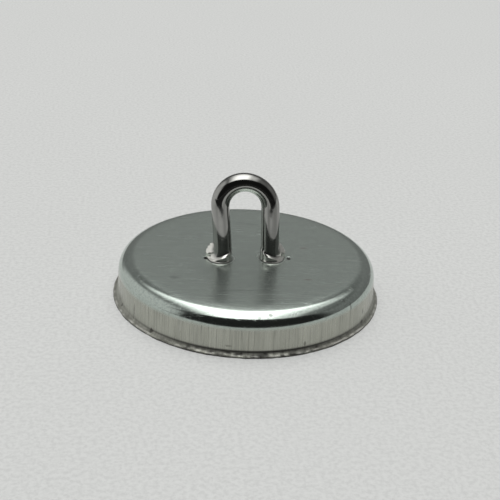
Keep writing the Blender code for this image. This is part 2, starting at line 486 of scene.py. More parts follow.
def stains():
    """(centre, half sizes, turn, strength, colour) of the small marks on the cup, in millimetres."""
    top = CUP_HEIGHT / MM
    marks = [
        ((-16.2, -18.6, top), (0.5, 0.3, 1.0), 0.3, 0.7, DIRT_COLOUR),
        ((-14.3, -9.7, top), (1.1, 0.6, 1.0), 0.2, 0.3, DIRT_COLOUR),
        ((10.4, -10.9, top), (1.0, 0.22, 1.0), 0.1, 0.5, RUST_COLOUR),
        ((11.4, 2.8, top), (0.9, 0.3, 1.0), 0.0, 0.45, RUST_COLOUR),
        ((-2.2, -15.0, top), (5.0, 0.35, 1.0), 0.0, 0.18, DIRT_COLOUR),
        ((1.5, 14.5, top), (3.0, 0.6, 1.0), 0.4, 0.15, DIRT_COLOUR),
        ((2.1, -23.4, top - 0.6), (0.5, 0.35, 1.0), 0.0, 0.6, DIRT_COLOUR),
        ((0.1, -23.9, top - 0.9), (0.4, 0.3, 1.0), 0.0, 0.5, DIRT_COLOUR),
    ]
    on_wall = (
        (-47.8, 0.8, 0.5, 0.5, 0.8), (-73.4, 0.9, 0.4, 0.4, 0.7), (42.4, 7.2, 0.35, 0.5, 0.7),
        (45.1, 5.7, 0.2, 0.9, 0.6), (54.9, 1.0, 0.5, 0.4, 0.7), (55.9, 2.9, 0.25, 0.6, 0.6),
        (-60.6, 2.2, 0.16, 1.9, 0.75), (20.0, 1.6, 0.3, 0.6, 0.5), (-12.0, 1.9, 0.7, 0.25, 0.4),
    )
    for turn_degrees, z, across, tall, strength in on_wall:
        turn = math.radians(turn_degrees)
        centre = (*around(turn - math.pi / 2, 25.0).xy, z)
        marks.append((centre, (across, 1.5, tall), -turn, strength, DIRT_COLOUR))
    return marks


def plated_sheet(finish):
    """Zinc-plated steel: satin rolled roof, burnished shoulder, streaked wall, lip darkened by painted
    shade.
    """
    material, tree, shader, place = new_material("zinc_plated_sheet")
    height = axes(tree, place)[2]
    radius = vector_sum(tree, "LENGTH", scaled(tree, place, 1.0, 1.0, 0.0)).outputs["Value"]
    bend_start = BEND_CENTRE / MM
    bend_bottom = (CUP_HEIGHT - SHOULDER_RADIUS) / MM
    on_roof = span(tree, radius, bend_start - 0.6, bend_start + 0.5, 1.0, 0.0)
    on_wall = span(tree, height, bend_bottom - 0.5, bend_bottom + 0.5, 1.0, 0.0)

    grain = use(tree, "rolled_grain", place, Length=9.0, Width=0.14)
    coarse_grain = use(tree, "rolled_grain", place, Length=16.0, Width=0.7)
    streaks = use(tree, "drawn_streaks", place, Width=0.3, Length=16.0, Radius=25.0)
    broad_streaks = use(tree, "drawn_streaks", place, Width=2.4, Length=20.0, Radius=25.0)
    mottle = noise_value(tree, scaled(tree, place, 0.55, 1.1, 1.0), 2.6, 3.0, 0.7)
    hairs = use(tree, "scratches", place, Length=7.0, Width=0.05, Amount=0.32)
    film = use(tree, "smudges", place, Size=7.0, Cover=0.5)
    specks = use(tree, "specks", place, Spacing=3.2, Size=0.16)
    painted_shade, wear = painted(tree, "painted_shade"), painted(tree, "wear")

    roof, wall = finish.plating, finish.wall
    lined = times(tree, span(tree, coarse_grain, 0.3, 0.7), on_roof)
    roof_tone = layered(
        tree, roof[:], (lined, shade(roof, 0.9)), (span(tree, mottle, 0.42, 0.68), shade(roof, 0.82))
    )
    wall_tone = layered(
        tree, wall[:], (span(tree, broad_streaks, 0.3, 0.7), shade(wall, 0.82)),
        (span(tree, streaks, 0.48, 0.74), shade(wall, 0.55)),
    )
    tone = layered(
        tree, roof_tone, (on_wall, wall_tone), (times(tree, film, on_roof, 0.3), shade(roof, 0.84)),
        (times(tree, hairs, 0.16), HAIR_COLOUR), (times(tree, specks, 0.6), SPECK_COLOUR),
    )
    for centre, reach, turn, strength, colour in stains():
        spot = use(tree, "mark", place, Centre=centre, Reach=reach, Turn=turn)
        tone = tint(tree, times(tree, spot, strength), tone, colour)
    # Painted shade darkens the pits, the roof round the feet and the lip's ledge, crease and cut edge; the
    # worn edge is real wear.
    tone = layered(tree, tone, (painted_shade, PAINTED_SHADE_COLOUR), (times(tree, wear, 0.7), WORN_COLOUR))

    roof_rough = span(tree, grain, 0.2, 0.8, finish.roof_roughness * 0.85, finish.roof_roughness * 1.15)
    wall_rough = span(tree, streaks, 0.3, 0.8, finish.wall_roughness * 0.75, finish.wall_roughness * 1.4)
    rough = mix(tree, on_roof, finish.shoulder_roughness, roof_rough)
    rough = mix(tree, on_wall, rough, wall_rough)
    rough = plus(tree, plus(tree, rough, times(tree, film, 0.012)), times(tree, painted_shade, 0.3))

    relief = plus(tree, times(tree, grain, on_roof, 0.5), times(tree, streaks, on_wall, 1.5))
    relief = minus(tree, minus(tree, relief, times(tree, hairs, 0.4)), specks)
    raise_surface(tree, shader, relief, 0.008 * MM)
    metal = minus(tree, minus(tree, 1.0, times(tree, painted_shade, 0.8)), times(tree, on_roof, 0.12))
    feed(tree, shader, Base_Color=tone, Roughness=rough, Metallic=metal)
    return material


def bright_wire(finish):
    """Plated drawn wire: mirror bright, with faint draw lines, dull spots and painted shade under the feet.
    """
    material, tree, shader, place = new_material("bright_wire")
    hairs = use(tree, "scratches", place, Length=4.0, Width=0.05, Amount=0.34)
    film = use(tree, "smudges", place, Size=2.2, Cover=0.5)
    specks = use(tree, "specks", place, Spacing=1.3, Size=0.12)
    painted_shade, lines, burnish = (painted(tree, name) for name in ("painted_shade", "lines", "burnish"))
    wire = finish.wire
    # The last layer is painted shade where each foot meets the roof.
    tone = layered(
        tree, shade(wire, 0.72), (span(tree, lines, 0.2, 0.9), shade(wire, 1.25)),
        (times(tree, film, 0.25), shade(wire, 0.7)), (burnish, finish.foot[:]),
        (times(tree, specks, 0.4), WIRE_SPECK_COLOUR), (painted_shade, PAINTED_SHADE_COLOUR),
    )
    rough = span(tree, film, 0.0, 1.0, finish.wire_roughness * 0.8, finish.wire_roughness * 1.5)
    rough = plus(tree, plus(tree, rough, times(tree, burnish, 0.12)), times(tree, painted_shade, 0.3))
    relief = minus(tree, times(tree, film, 0.3), times(tree, hairs, 0.3))
    relief = minus(tree, relief, times(tree, specks, 0.6))
    raise_surface(tree, shader, relief, 0.006 * MM)
    metal = minus(tree, 1.0, times(tree, painted_shade, 0.8))
    feed(tree, shader, Base_Color=tone, Roughness=rough, Metallic=metal)
    return material


def sintered_ferrite(finish):
    """Sintered ferrite: dark grey, ground flat in straight passes, with chipped paler edges."""
    material, tree, shader, place = new_material("sintered_ferrite")
    grind = use(tree, "rolled_grain", place, Length=14.0, Width=0.22)
    film = use(tree, "smudges", place, Size=5.0, Cover=0.5)
    specks = use(tree, "specks", place, Spacing=0.9, Size=0.16)
    ferrite = finish.ferrite
    tone = layered(
        tree, ferrite[:], (film, shade(ferrite, 1.35)), (times(tree, specks, 0.7), shade(ferrite, 0.4)),
        (times(tree, painted(tree, "wear"), 0.5), shade(ferrite, 2.2)),
    )
    raise_surface(tree, shader, minus(tree, grind, specks), 0.02 * MM)
    feed(tree, shader, Base_Color=tone, Roughness=span(tree, grind, 0.2, 0.8, 0.42, 0.68))
    return material


def poured(name, colour, share, film_size, cover, bubbles, rough, relief):
    """A poured and set resin: glossy and filmy, with small bubbles of a (spacing, size)."""
    material, tree, shader, place = new_material(name)
    film = use(tree, "smudges", place, Size=film_size, Cover=cover)
    holes = use(tree, "specks", place, Spacing=bubbles[0], Size=bubbles[1])
    tone = tint(tree, film, colour[:], shade(colour, share))
    raise_surface(tree, shader, minus(tree, film, holes), relief)
    feed(tree, shader, Base_Color=tone, Roughness=span(tree, film, 0.0, 1.0, *rough))
    return material


def cured_adhesive(finish):
    """Cured adhesive: amber, glossy where it flowed, with small bubbles."""
    return poured("cured_adhesive", finish.adhesive, 0.7, 3.0, 0.5, (0.8, 0.3), (0.3, 0.5), 0.04 * MM)


def potting_resin(finish):
    """Black potting resin: poured, faintly rippled, with a few bubbles and dust."""
    return poured("potting_resin", finish.resin, 1.6, 4.0, 0.45, (1.1, 0.26), (0.24, 0.46), 0.05 * MM)


def pale_board(stage):
    """The pale painted floor: matt, faintly mottled, seen from above only.

    Far in front of the magnet it is dark to all but the camera, so that the metal mirrors a dark room.
    """
    material, tree, shader, place = new_material("pale_board")
    board = stage.floor
    fine = noise_value(tree, place, 1.3, 5.0, 0.65)
    tone = tint(tree, noise_value(tree, place, 0.012, 3.0), board[:], shade(board, 0.95))
    tone = tint(tree, span(tree, fine, 0.38, 0.66), tone, shade(board, 0.86))
    raise_surface(tree, shader, fine, 0.05 * MM)
    start = -stage.shade_start / MM
    far = span(tree, axes(tree, place)[1], start, start + FLOOR_FADE, 1.0, 0.0)
    unseen = minus(tree, 1.0, add(tree, "LightPath").outputs["Is Camera Ray"])
    tone = tint(tree, times(tree, far, unseen), tone, DARK_FLOOR_COLOUR)
    above = minus(tree, 1.0, add(tree, "NewGeometry").outputs["Backfacing"])
    feed(tree, shader, Base_Color=tone, Emission_Color=tone, Alpha=above)
    shader.inputs["Roughness"].default_value = 0.7
    shader.inputs["Specular IOR Level"].default_value = 0.25
    shader.inputs["Emission Strength"].default_value = stage.floor_glow
    return material


# The cup


def flare_points(inset, lowest, count):
    """Points (r, z) down the foot of the wall, which bends outwards round a centre above the rim's edge."""
    bend = FLARE_RADIUS + inset
    angles = spread(0.0, math.asin(min(1.0, (FLARE_TOP - lowest) / bend)), count)
    return [(RIM_RADIUS - bend * math.cos(a), max(0.0, FLARE_TOP - bend * math.sin(a))) for a in angles]


def roof_radii():
    """Radii of the rings that the roof is cut in: finest where the feet stand."""
    radii = spread(0.25 * MM, 6.0 * MM, 12) + spread(6.4 * MM, 7.2 * MM, 4)
    radii += spread(7.35 * MM, 9.0 * MM, 16) + spread(9.4 * MM, 12.0 * MM, 6)
    return radii + spread(13.0 * MM, ROLL_START, 7) + spread(ROLL_START, ROLL_END, 18)[1:-1]


def roof_height(r):
    """Height of the roof at a radius: level, then rolling off into the shoulder."""
    share = max(0.0, (r - ROLL_START) / (ROLL_END - ROLL_START))
    return CUP_HEIGHT - ROLL_DROP * share**3


def outer_profile():
    """(r, z) down the outside of the cup, from the roof's middle to the rim."""
    shoulder = arc(BEND_CENTRE, BEND_HEIGHT, SHOULDER_RADIUS, 90 - math.degrees(ROLL_SLOPE), 0, 24)
    profile = [(r, roof_height(r)) for r in roof_radii()] + shoulder
    for share in spread(0.0, 1.0, 12)[1:-1]:
        r = WALL_TOP_RADIUS + (WALL_FOOT_RADIUS - WALL_TOP_RADIUS) * share
        profile.append((r, BEND_HEIGHT + (FLARE_TOP - BEND_HEIGHT) * share))
    return profile


def lip_profile():
    """(r, z) round the outward bend at the wall's foot, down the trimmed edge and under it."""
    edge = [(RIM_RADIUS, LIP_HEIGHT * 0.6), (RIM_RADIUS - 0.02 * MM, LIP_HEIGHT * 0.25)]
    under = [(RIM_RADIUS - 0.12 * MM, 0.0), (RIM_RADIUS - 0.5 * MM, 0.0)]
    return flare_points(0.0, LIP_HEIGHT, 22)[:-1] + edge + under


def inner_profile():
    """(r, z) up the inside of the cup, from the rim to the middle of the roof's underside."""
    profile = flare_points(SHEET, 0.0, 8)[::-1]
    profile += arc(BEND_CENTRE, CUP_HEIGHT - SHOULDER_RADIUS, SHOULDER_RADIUS - SHEET, 0, 90, 8)
    return profile + [(r, ROOF_UNDERSIDE) for r in spread(BEND_CENTRE - 1 * MM, 0.5 * MM, 18)]


def pit_place(side):
    """The place of the small punch pit at the tip of a foot's ear."""
    reach, behind = (3.15 * MM, 0.15 * MM) if side < 0 else (3.75 * MM, -0.2 * MM)
    return Vector((LOOP_SIDE + side * (LEG_AT_ROOF + reach), LOOP_OFFSET + behind, 0.0))


def pit_gap(place, side):
    """Distance from the middle of a pit, which is longer from front to back than from side to side."""
    offset = place - pit_place(side)
    return math.hypot(offset.x, offset.y * 0.6)


def outer_point(angle, r, z):
    """A point of the cup's outside, with the unevenness that pressing leaves, and the two pits."""
    at = around(angle, r, z)
    on_bend = clamp((r - 20 * MM) / (4 * MM))
    r += on_bend * (SHOULDER_UNEVEN * wander(at, 5.5 * MM, 3.0) + 0.006 * MM * wander(at, 1.4 * MM, 8.0))
    z += ROOF_UNEVEN * wander(at, 6 * MM, 21.0)
    if r < FEET_ZONE:
        for side in (-1, 1):
            gap = pit_gap(at, side) / PIT_RADIUS
            if gap < 1.0:
                z -= PIT_DEPTH * (1 - gap**2) ** 2
    return around(angle, r, z)


def lip_point(angle, r, z):
    """A point of the lip, with the ragged edge that trimming leaves."""
    rim = around(angle, RIM_RADIUS, 0.0)
    torn = wander(rim, 1.9 * MM, 31.0) + 0.7 * wander(rim, 0.6 * MM, 37.0)
    share = clamp((r - WALL_FOOT_RADIUS) / FLARE_RADIUS)
    if z > 0.0:
        z += LIP_TEAR * torn * share**2
    r += LIP_WAVE * share**2 * (wander(rim, 2.6 * MM, 41.0) - 0.5 + wander(rim, 0.5 * MM, 43.0) * 0.5)
    return around(angle, r, max(z, 0.0))


def cut_leg_holes(cup):
    """Cuts the two holes that the loop's tails pass through."""
    for side in (-1, 1):
        shape = bmesh.new()
        bmesh.ops.create_cone(
            shape, cap_ends=True, segments=48, radius1=TAIL_RADIUS, radius2=TAIL_RADIUS, depth=4 * SHEET
        )
        mesh = bpy.data.meshes.new("leg_hole")
        shape.to_mesh(mesh)
        shape.free()
        cutter = bpy.data.objects.new("leg_hole", mesh)
        cutter.location = (LOOP_SIDE + side * LEG_AT_ROOF, LOOP_OFFSET, CUP_HEIGHT - SHEET / 2)
        bpy.context.scene.collection.objects.link(cutter)
        cut = cup.modifiers.new("leg_hole", "BOOLEAN")
        cut.operation = "DIFFERENCE"
        cut.solver = "EXACT"
        cut.object = cutter
        bpy.context.view_layer.update()
        result = bpy.data.meshes.new_from_object(cup.evaluated_get(bpy.context.evaluated_depsgraph_get()))
        cup.modifiers.clear()
        cup.data = result
        bpy.data.objects.remove(cutter, do_unlink=True)


def cup_painted_shade(place, sizes):
    """Painted shade in the pits, round the feet, under the ledge of the lip and along the rim, heaviest at
    the front of the lip.
    """
    r = math.hypot(place.x, place.y)
    shade_amount = 0.0
    if place.z > ROOF_UNDERSIDE + SHEET / 4 and r < FEET_ZONE:
        for side in (-1, 1):
            foot = Vector((side * (place.x - LOOP_SIDE) - LEG_AT_ROOF, LOOP_OFFSET - place.y, 0.0))
            beyond = foot.length - foot_outline(math.atan2(foot.y, foot.x), sizes)
            shade_amount = max(shade_amount, 2.4 - pit_gap(place, side) / (0.2 * MM), 0.95 - max(0.0, beyond) / (0.35 * MM))
    # Painted shade on the lip's ledge and in its crease grows towards the front; the cut edge below is
    # painted dark all round.
    if r > WALL_FOOT_RADIUS and place.z < FLARE_TOP:
        front = max(0.0, -place.y / r)
        ledge = 0.25 + 0.5 * front**3 + (0.2 + 0.5 * front**2) * wander(place, 0.8 * MM, 15.0)
        crease = (0.2 + 1.0 * front**2) * (1 - abs(FLARE_TOP - place.z - 0.34 * MM) / (0.36 * MM))
        cut_edge = 0.95 - max(0.0, RIM_RADIUS - r - 0.04 * MM) / (0.12 * MM)
        shade_amount = max(shade_amount, min(ledge, (FLARE_TOP - place.z) / (0.5 * MM)), crease, cut_edge)
    return shade_amount


def cup_wear(place):
    """Bright rubbed metal along the edge of the lip."""
    r = math.hypot(place.x, place.y)
    edge = abs(r - RIM_RADIUS + 0.3 * MM) / (0.25 * MM) + max(0.0, place.z - 0.5 * MM) / (0.2 * MM)
    return max(0.0, 1.0 - edge) * (0.2 + 2.6 * wander(place, 0.9 * MM, 5.0))


def build_cup(sizes):
    """The cup's mesh: rings of points from the roof's middle over the lip to the underside's middle."""
    rings = turned_rings(outer_profile(), TURN_STEPS, outer_point)
    rings += turned_rings(lip_profile(), TURN_STEPS, lip_point)
    rings += turned_rings(inner_profile(), TURN_STEPS, around)
    cup = piece_from_rings("cup", rings, closed=False)
    cut_leg_holes(cup)
    soften(cup)
    # The pits, the roof round the feet and the lip carry painted shade.
    paint(cup, "painted_shade", lambda place: cup_painted_shade(place, sizes))
    paint(cup, "wear", cup_wear)
    return cup


# The wire loop


def capsule_reach(angle, reach, half_width):
    """How far a round-ended bar of that reach and half width extends at an angle from its own line."""
    centre = reach - half_width
    across = centre * math.sin(angle)
    if centre <= 0.0 or abs(across) >= half_width or math.cos(angle) <= 0.0:
        return 0.0
    return centre * math.cos(angle) + math.sqrt(half_width**2 - across**2)


def soft_max(a, b, width):
    """The larger of two sizes, rounded over where they are close."""
    mix = max(width - abs(a - b), 0.0) / width
    return max(a, b) + mix**2 * width / 4


def foot_outline(angle, sizes):
    """Radius of the upset foot on the roof: 0 is outwards, 90 degrees the front, 180 the inner side."""
    outward = (1 + math.cos(angle)) / 2
    front_or_back = abs(math.sin(angle))
    sideways = sizes.foot_inner + (sizes.foot_outer - sizes.foot_inner) * outward**FOOT_TAPER
    halfway = sizes.foot_inner + (sizes.foot_outer - sizes.foot_inner) * 0.5**FOOT_TAPER
    return sideways + (sizes.foot_front - halfway) * front_or_back**2


def leg_radius(angle, rise, sizes):
    """Radius of the wire at a height above the roof, swelling into the collar and the ear near the foot."""
    swell = foot_outline(angle, sizes) - sizes.wire_radius
    outward = max(0.0, math.cos(angle))
    cone = max(0.0, 1 - rise / COLLAR_RISE) ** 3 * outward
    step = clamp((LEDGE_RISE - LEDGE_SLANT * math.cos(angle) - rise) / LEDGE_SPAN + 0.5)
    flange = max(0.0, 1 - rise / FLANGE_RISE) ** 2
    share = max(LEDGE_SHARE * step**2 * (3 - 2 * step), cone)
    radius = sizes.wire_radius + swell * (share + (1 - share) * flange)
    if rise < sizes.ear_rise + 0.8 * MM:
        slope = EAR_FALL * math.cos(angle) + EAR_CANT * math.sin(angle)
        roof_reach = (sizes.ear_rise - rise + EAR_FALL * sizes.wire_radius) / max(slope, 0.05)
        ear = min(capsule_reach(angle - EAR_TURN, sizes.ear_reach, EAR_HALF_WIDTH), roof_reach)
        radius = soft_max(radius, ear if outward > 0.0 else 0.0, EAR_BLEND)
    if rise < SOLE_RISE:
        radius -= SOLE_ROUND * (1 - rise / SOLE_RISE) ** 2
    return radius


def loop_path():
    """(x, z, outward direction, rise above the roof or None) along the loop, from left foot to right."""
    rises = spread(0.0, SOLE_RISE, 3) + spread(0.2 * MM, 3.0 * MM, 24) + spread(3.4 * MM, ARCH_HEIGHT, 14)
    left = []
    for rise in rises:
        share = max(0.0, rise - LEAN_START) / (ARCH_HEIGHT - LEAN_START)
        spacing = LEG_AT_ROOF + (LEG_AT_ARCH - LEG_AT_ROOF) * share
        left.append((-spacing, CUP_HEIGHT + rise, Vector((-1, 0, 0)), rise))
    arch = []
    for angle in spread(math.pi, 0.0, 61)[1:-1]:
        out = Vector((math.cos(angle), 0, math.sin(angle)))
        arch.append((LEG_AT_ARCH * out.x, CUP_HEIGHT + ARCH_HEIGHT + LEG_AT_ARCH * out.z, out, None))
    return left + arch + [(-x, z, Vector((1, 0, 0)), rise) for x, z, out, rise in reversed(left)]


def lean(point, sizes):
    """A point of the loop after the wire leans a little to -X and +Y above its feet."""
    rise = max(0.0, point.z - CUP_HEIGHT - LEAN_START)
    return point + rise * Vector((-math.tan(sizes.loop_lean), math.tan(sizes.loop_tilt), 0.0))


def wire_section(x, z, outward, rise, sizes):
    """One ring of points round the wire."""
    ring = []
    for j in range(WIRE_SIDES):
        angle = math.tau * j / WIRE_SIDES
        radius = sizes.wire_radius if rise is None else leg_radius(angle, rise, sizes)
        direction = outward * math.cos(angle) + Vector((0, -1, 0)) * math.sin(angle)
        point = Vector((LOOP_SIDE + x, LOOP_OFFSET, z)) + direction * radius
        ring.append(lean(point + direction * 0.012 * MM * wander(point, 2.5 * MM, 61.0), sizes))
    return ring


def tail_sections(side):
    """Rings of the tail and its peened head below the roof, from the head upwards."""
    bottom, top = LOOP_LOW.z, LOOP_LOW.z + HEAD_THICKNESS
    tail_share = TAIL_RADIUS / HEAD_RADIUS
    axis = Vector((LOOP_SIDE + side * LEG_AT_ROOF, LOOP_OFFSET, 0))
    steps = [(bottom, 0.55), (bottom + 0.05 * MM, 0.8), (bottom + 0.18 * MM, 0.95)]
    steps += [(bottom + 0.4 * MM, 1.02), (top - 0.12 * MM, 1.0), (top, 0.94)]
    steps += [(top + 0.02 * MM, tail_share), (CUP_HEIGHT, tail_share)]
    rings = []
    for z, share in steps:
        ring = []
        for j in range(WIRE_SIDES):
            angle = math.tau * j / WIRE_SIDES
            direction = Vector((side * math.cos(angle), -math.sin(angle), 0))
            point = axis + Vector((0, 0, z)) + direction * HEAD_RADIUS * share
            hammered = direction * 0.05 * MM * wander(point, 1.1 * MM, 71.0)
            if z < top - 0.2 * MM:
                hammered.z += 0.06 * MM * wander(point, 0.8 * MM, 77.0)
            ring.append(point + hammered)
        rings.append(ring)
    return rings


def loop_burnish(place, sizes):
    """Bare bright metal where the feet were upset."""
    rise = place.z - CUP_HEIGHT
    if not 0.0 <= rise < sizes.ear_rise + 0.6 * MM:
        return 0.0
    axis = math.copysign(LEG_AT_ROOF, place.x - LOOP_SIDE) + LOOP_SIDE
    return (math.hypot(place.x - axis, place.y - LOOP_OFFSET) - sizes.wire_radius - 0.05 * MM) / (0.4 * MM)


def draw_lines():
    """For each vertex of the loop in order, how much a line along the wire darkens it."""
    blank = [0.0] * (len(tail_sections(1)) * WIRE_SIDES)
    lines = []
    for i in range(len(loop_path())):
        for j in range(WIRE_SIDES):
            place = around(math.tau * j / WIRE_SIDES, 2.6, i * 0.012)
            lines.append(0.5 + 1.1 * noise.noise(place))
    return blank + lines + blank


def loop_painted_shade(place):
    """Painted shade in the crease where each foot meets the roof."""
    return 1.1 - abs(place.z - CUP_HEIGHT) / (0.16 * MM)


def build_loop(sizes):
    """The loop's mesh: head, tail, foot, leg, arch, leg, foot, tail, head."""
    rings = tail_sections(-1)
    rings += [wire_section(*station, sizes) for station in loop_path()]
    rings += list(reversed(tail_sections(1)))
    loop = piece_from_rings("loop", rings, closed=False)
    soften(loop)
    # Each foot's crease with the roof carries painted shade.
    paint(loop, "painted_shade", loop_painted_shade)
    paint(loop, "burnish", lambda place: loop_burnish(place, sizes))
    lines = draw_lines()
    lines += [0.0] * (len(loop.data.vertices) - len(lines))
    loop.data.attributes.new("lines", "FLOAT", "POINT").data.foreach_set("value", lines)
    return loop


# What the cup holds


def ring_profile(inner, outer, bottom, top, edge, across, tall):
    """(r, z) round a bar section with chamfered corners, cut finely enough to be uneven."""
    profile = [(r, bottom) for r in spread(inner + edge, outer - edge, across)]
    profile += [(outer, z) for z in spread(bottom + edge, top - edge, tall)]
    profile += [(r, top) for r in spread(outer - edge, inner + edge, across)]
    return profile + [(inner, z) for z in spread(top - edge, bottom + edge, tall)]


def edge_gaps(r, z):
    """Distances from a point of the ring magnet to its nearest side and to its nearest face."""
    side = min(abs(r - RING_BORE_RADIUS), abs(r - RING_HIGH.x))
    return side, min(abs(z - RING_LOW.z), abs(z - RING_HIGH.z))


def magnet_point(angle, r, z):
    """A point of the ring magnet, with chips along its chamfers."""
    chip = 0.0
    if max(edge_gaps(r, z)) < RING_CHAMFER * 1.1:
        chip = max(0.0, wander(around(angle, r, z), 1.3 * MM, 91.0) - 0.25) * 0.6 * MM
    inwards = math.copysign(chip, (RING_BORE_RADIUS + RING_HIGH.x) / 2 - r)
    return around(angle, r + inwards, z + math.copysign(chip * 0.6, (RING_LOW.z + RING_HIGH.z) / 2 - z))


def magnet_wear(place):
    """Paler ground edges of the ring magnet."""
    return 1.2 - sum(edge_gaps(math.hypot(place.x, place.y), place.z)) / (0.6 * MM)


def build_ring_magnet():
    """The ferrite ring: flat ground faces and chamfers that chipped here and there."""
    profile = ring_profile(RING_BORE_RADIUS, RING_HIGH.x, RING_LOW.z, RING_HIGH.z, RING_CHAMFER, 14, 6)
    magnet = piece_from_rings("ring_magnet", turned_rings(profile, TURN_STEPS, magnet_point), closed=True)
    soften(magnet)
    paint(magnet, "wear", magnet_wear)
    return magnet


def build_adhesive():
    """The adhesive bed with an edge that squeezed out unevenly."""
    inner = RING_BORE_RADIUS + 0.1 * MM

    def bed_point(angle, r, z):
        """A point of the bed, whose edge in the bore squeezed out."""
        at = around(angle, r, z)
        if r < inner + 1 * MM:
            r += (0.5 * wander(at, 4 * MM, 101.0) - 0.35 + 0.15 * wander(at, 1.2 * MM, 103.0)) * MM
        return around(angle, r, z)

    profile = ring_profile(inner, BED_RADIUS, RING_HIGH.z, ROOF_UNDERSIDE, BED_EDGE, 6, 5)
    bed = piece_from_rings("adhesive_layer", turned_rings(profile, TURN_STEPS // 2, bed_point), closed=True)
    soften(bed)
    return bed


def filler_point(angle, r, z):
    """A point of the potting, whose open face is gently rippled."""
    if z < 0.5 * MM:
        z += 0.07 * MM * wander(around(angle, r, z), 3.5 * MM, 111.0)
    return around(angle, r, max(0.03 * MM, z))


def build_filler():
    """The potting ring: its open face creeps up the wall and the magnet in a meniscus."""
    inner = RING_HIGH.x + 2 * POTTING_GAP
    top = RING_HIGH.z - 0.1 * MM
    wall = flare_points(SHEET + POTTING_GAP, FILLER_LOW.z, 7)[::-1]
    profile = []
    for share in spread(0.0, 1.0, 12):
        edge = max(0.0, abs(share - 0.5) * 2 - 0.4) / 0.6
        profile.append((inner + (wall[0][0] - inner) * share, FILLER_LOW.z - MENISCUS * edge**2))
    profile += wall[1:] + [(WALL_TOP_RADIUS - SHEET - POTTING_GAP, top), (inner, top)]
    profile += [(inner, z) for z in spread(RING_HIGH.z - 1 * MM, 0.8 * MM, 4)]
    filler = piece_from_rings("potting", turned_rings(profile, TURN_STEPS, filler_point), closed=True)
    soften(filler)
    return filler


# Stage


def build_floor(stage):
    """A wide level floor just under the rim, which is not part of the object."""
    shape = bmesh.new()
    bmesh.ops.create_circle(shape, cap_ends=True, segments=96, radius=stage.floor_radius)
    mesh = bpy.data.meshes.new("floor")
    shape.to_mesh(mesh)
    shape.free()
    mesh.materials.append(pale_board(stage))
    floor = bpy.data.objects.new("floor", mesh)
    floor.location = (0, 0, -FLOOR_DROP)
    bpy.context.scene.collection.objects.link(floor)


def build_dome(stage):
    """Studio light as a dome: a wide soft panel overhead, dark behind the viewer, mid grey all round."""
    world = bpy.data.worlds.new("studio_dome")
    bpy.context.scene.world = world
    world.use_nodes = True
    tree = world.node_tree
    tree.nodes.clear()
    outwards = add(tree, "TexCoord").outputs["Generated"]
    x, y, z = axes(tree, turn_about_z(tree, outwards, -stage.heading))
    over = calc(tree, "ARCTAN2", z, y)
    sideways = calc(tree, "ARCSINE", x)
    up = calc(tree, "ARCSINE", z)
    round_front = calc(tree, "ARCTAN2", x, times(tree, y, -1.0))

    degrees = math.radians
    height = add(tree, "MapRange", Value=up, From_Min=0.0, From_Max=degrees(90)).outputs["Result"]
    back = add(tree, "ValToRGB", Fac=height)
    fill_ramp(back.color_ramp, [(angle / 90, level) for angle, level in BACK_LEVELS])

    left = times(tree, span(tree, sideways, degrees(-50), degrees(-34), 1.0, 0.0),
                 span(tree, up, degrees(40), degrees(60), 1.0, 0.0))
    in_front = span(tree, over, degrees(113), degrees(119))
    dim = times(tree, zone(tree, round_front, (-84, -66), (90, 104)), in_front,
                span(tree, up, degrees(22), degrees(40)))
    dark = times(tree, zone(tree, round_front, (-64, -50), (66, 84)), in_front)
    panel = times(tree, zone(tree, over, (40, 56), (118, 123)), zone(tree, sideways, (-38, -4), (26, 40)),
                  span(tree, sideways, degrees(8), degrees(24), 1.0, 0.27))
    level = mix(tree, left, back.outputs[0], stage.left_level)
    level = mix(tree, dim, level, stage.dim_level)
    level = mix(tree, dark, level, stage.shade_level)
    level = mix(tree, panel, level, stage.panel_level)

    lit = add(tree, "Background", Color=(*LIGHT_COLOUR, 1.0), Strength=level)
    backdrop = add(tree, "Background", Color=(*stage.backdrop, 1.0), Strength=1.0)
    seen = add(tree, "LightPath").outputs["Is Camera Ray"]
    mixed = add(tree, "MixShader", i0=seen, i1=lit.outputs[0], i2=backdrop.outputs[0])
    result = add(tree, "OutputWorld")
    tree.links.new(mixed.outputs[0], result.inputs["Surface"])


def fill_ramp(ramp, stops):
    """Sets a ramp's stops from (position, grey level) pairs."""
    while len(ramp.elements) < len(stops):
        ramp.elements.new(0.5)
    for element, (position, level) in zip(ramp.elements, stops):
        element.position = position
        element.color = (level, level, level, 1.0)


def place_camera(stage):
    """The camera, looking down at the magnet from its front."""
    data = bpy.data.cameras.new("front_camera")
    data.lens = stage.lens
    data.sensor_width = 36.0
    data.clip_start = 0.001
    camera = bpy.data.objects.new("front_camera", data)
    bpy.context.scene.collection.objects.link(camera)
    turn = Matrix.Rotation(stage.camera_heading, 4, "Z")
    tilt = Matrix.Rotation(math.radians(90) - stage.camera_dip, 4, "X")
    roll = Matrix.Rotation(stage.camera_roll, 4, "Z")
    camera.matrix_world = Matrix.Translation(stage.camera_place) @ turn @ tilt @ roll
    bpy.context.scene.camera = camera


# Settings


